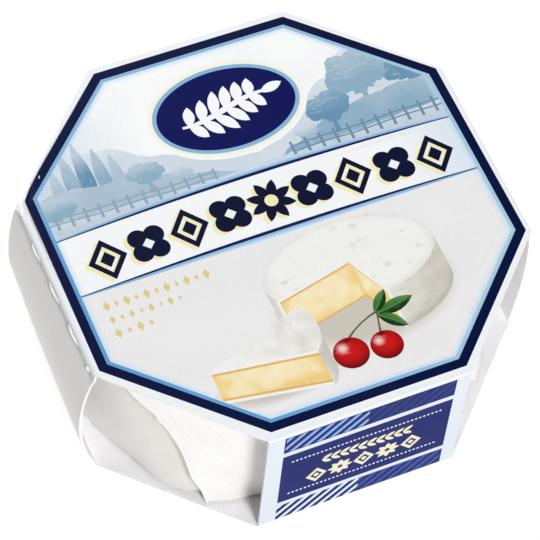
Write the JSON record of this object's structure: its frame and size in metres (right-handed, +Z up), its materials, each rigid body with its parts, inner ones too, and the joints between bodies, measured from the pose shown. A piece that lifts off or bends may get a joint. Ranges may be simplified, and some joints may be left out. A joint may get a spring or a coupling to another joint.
{
  "type": "boxed camembert",
  "caption": "Round soft cheese wrapped in pleated white paper, in a low octagonal board carton that is open at its slanted sides.",
  "frame": {"origin": "bottom centre of the bounding box, on the face that the carton rests on, under the centre of the octagon", "axes": "+Z up through the printed top, +X to the right along the printed front panel, +Y from the front panel to the back"},
  "size_m": [0.0962, 0.09, 0.034],
  "materials": {
    "board": "white coated board, printed navy, light blue and gold on its top and front",
    "paper": "white waxed wrapping paper, soft sheen"
  },
  "bodies": {
    "root": {"carton": "board", "wrapped_cheese": "paper"}
  },
  "joints": []
}
